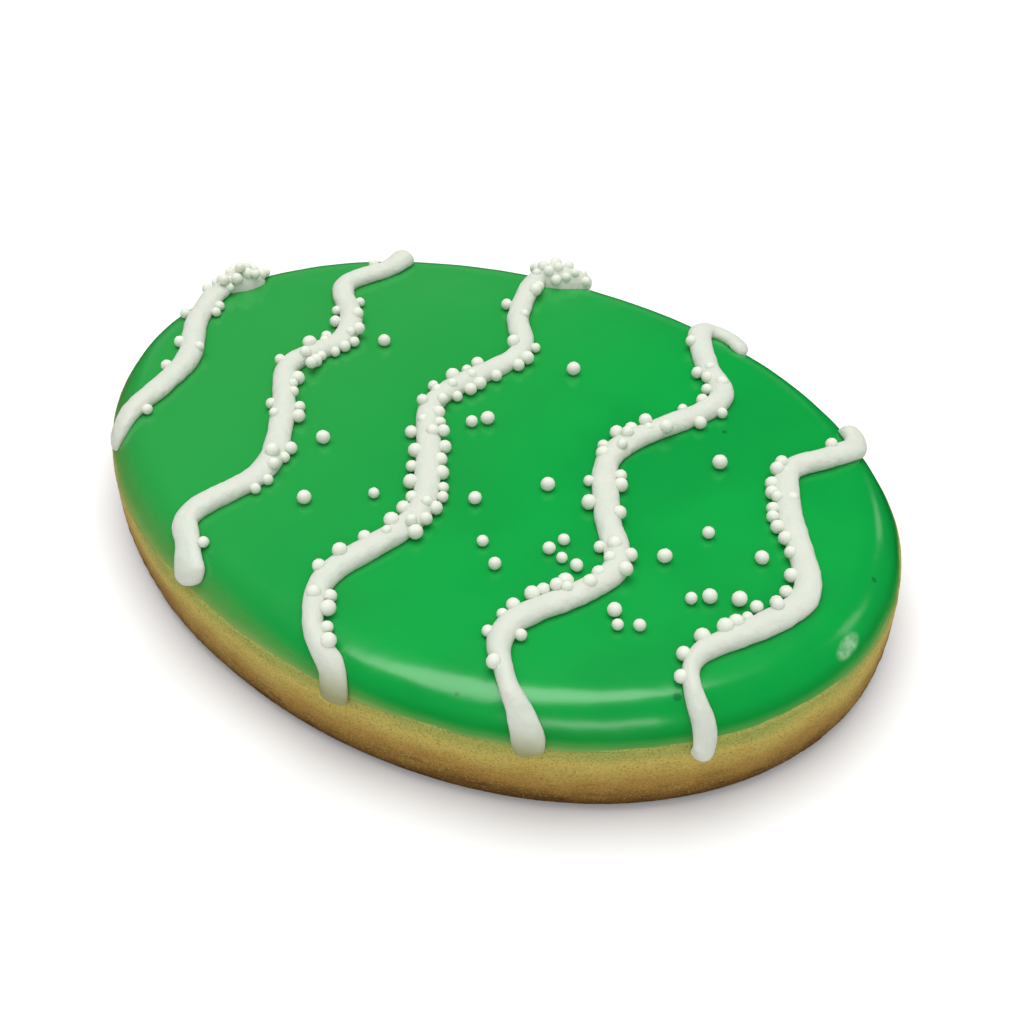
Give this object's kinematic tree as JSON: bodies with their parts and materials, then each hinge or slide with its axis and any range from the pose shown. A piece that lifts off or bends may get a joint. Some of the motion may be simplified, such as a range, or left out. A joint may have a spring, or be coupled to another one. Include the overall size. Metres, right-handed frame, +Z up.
{
  "type": "cookie",
  "caption": "Egg-shaped sugar cookie: a thick baked biscuit under glossy green poured icing, crossed by white piped zigzag lines with small white sugar beads.",
  "frame": {"origin": "centre of the whole cookie's box on plan, at the level of its flat base", "axes": "+X along the egg's length towards its blunter end, +Z up out of the iced top; the piped lines run across from +Y to -Y"},
  "size_m": [0.1, 0.0754, 0.0169],
  "materials": {
    "baked_biscuit": "matt baked crumb, browner towards the base",
    "green_icing": "satin gloss of dried poured icing",
    "white_icing": "soft sheen of dried piped icing and sugar beads"
  },
  "bodies": {
    "root": {"biscuit": "baked_biscuit", "green_icing": "green_icing", "piped_line_1": "white_icing", "piped_line_2": "white_icing", "piped_line_3": "white_icing", "piped_line_4": "white_icing", "piped_line_5": "white_icing"}
  },
  "joints": []
}
